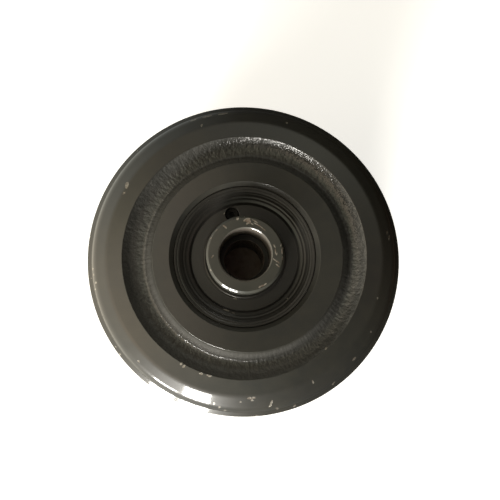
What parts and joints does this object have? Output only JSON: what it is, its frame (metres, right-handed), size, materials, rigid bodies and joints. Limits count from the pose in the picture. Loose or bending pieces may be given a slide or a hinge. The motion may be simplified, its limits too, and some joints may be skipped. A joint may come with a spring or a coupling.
{
  "type": "track roller",
  "caption": "Sealed steel track roller: flanged welded shell turning on a fixed shaft with end collars, bushes, metal face seals and tapped shaft ends.",
  "frame": {"origin": "the roller's centre, on the spin axis, midway between the shaft ends", "axes": "+Z along the spin axis towards the outboard end, which has the oil fill hole; +X and +Y across the roller, with the fill hole near +Y"},
  "size_m": [0.15, 0.15, 0.172],
  "materials": {
    "shell_paint": "glossy black paint over forged and turned steel",
    "weld_paint": "glossy black paint over a weld bead",
    "shaft_steel": "steel with worn black paint on its ends",
    "collar_paint": "satin black paint over turned steel",
    "bush_bronze": "bimetal bronze bush",
    "washer_bronze": "bronze thrust washer",
    "seal_iron": "lapped seal faces on cast iron",
    "toric_rubber": "nitrile rubber",
    "oring_rubber": "nitrile rubber",
    "spring_steel": "oiled spring steel wire",
    "plug_steel": "black oxide steel"
  },
  "bodies": {
    "axle": {"shaft": "shaft_steel", "collar_outboard": "collar_paint", "collar_inboard": "collar_paint", "oil_fill_plug": "plug_steel", "seal_ring_static_outboard": "seal_iron", "seal_ring_static_inboard": "seal_iron", "toric_static_outboard": "toric_rubber", "toric_static_inboard": "toric_rubber", "shaft_oring_outboard": "oring_rubber", "shaft_oring_inboard": "oring_rubber", "snap_ring_outboard": "spring_steel", "snap_ring_inboard": "spring_steel", "thrust_washer_outboard": "washer_bronze", "thrust_washer_inboard": "washer_bronze"},
    "roller": {"shell_outboard": "shell_paint", "shell_inboard": "shell_paint", "shell_weld_seam": "weld_paint", "bush_outboard": "bush_bronze", "bush_inboard": "bush_bronze", "seal_ring_rotating_outboard": "seal_iron", "seal_ring_rotating_inboard": "seal_iron", "toric_rotating_outboard": "toric_rubber", "toric_rotating_inboard": "toric_rubber"}
  },
  "joints": [
    {"name": "roller_spin", "type": "hinge", "parent": "axle", "child": "roller", "pos_m": [0, 0, 0], "axis": [0, 0, 1], "continuous": true}
  ]
}
